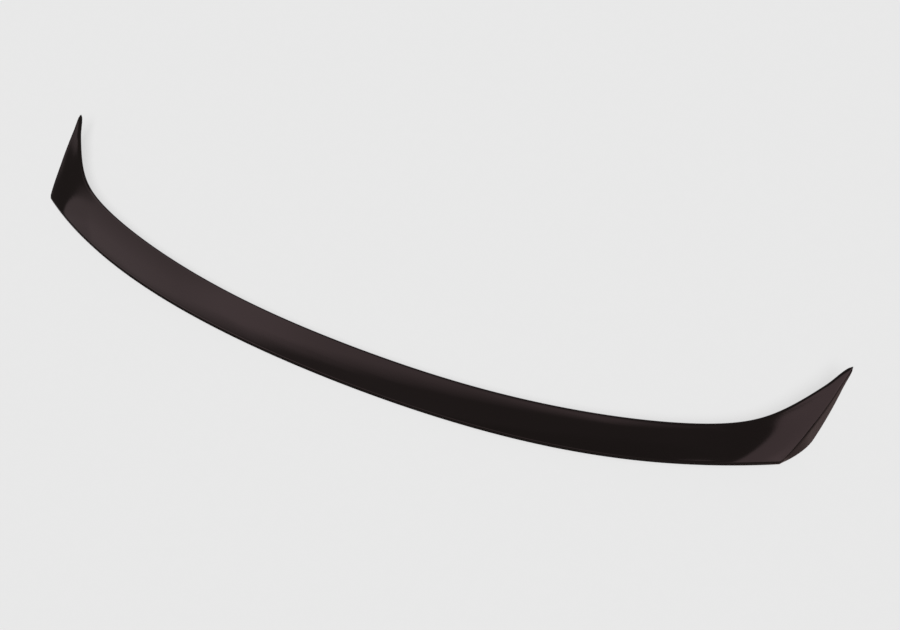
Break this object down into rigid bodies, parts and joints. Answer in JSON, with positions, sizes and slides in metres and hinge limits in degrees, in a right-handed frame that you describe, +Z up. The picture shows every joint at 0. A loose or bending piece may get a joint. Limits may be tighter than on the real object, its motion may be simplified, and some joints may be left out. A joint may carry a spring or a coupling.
{
  "type": "rear spoiler",
  "caption": "Gloss rear spoiler for a saloon boot lid: a shallow lip blade that follows the rear edge of the lid, with swept side ends and a cored bonding side.",
  "frame": {"origin": "on the resting plane, midway across and midway between the forward tips and the rear edge", "axes": "X across the car, +Y forward, +Z up; the heel line under the rear edge lies in Z = 0"},
  "size_m": [1.253, 0.2539, 0.038],
  "materials": {
    "gloss_finish": "very dark brown black gloss lacquer on moulded plastic"
  },
  "bodies": {
    "root": {"blade": "gloss_finish"}
  },
  "joints": []
}
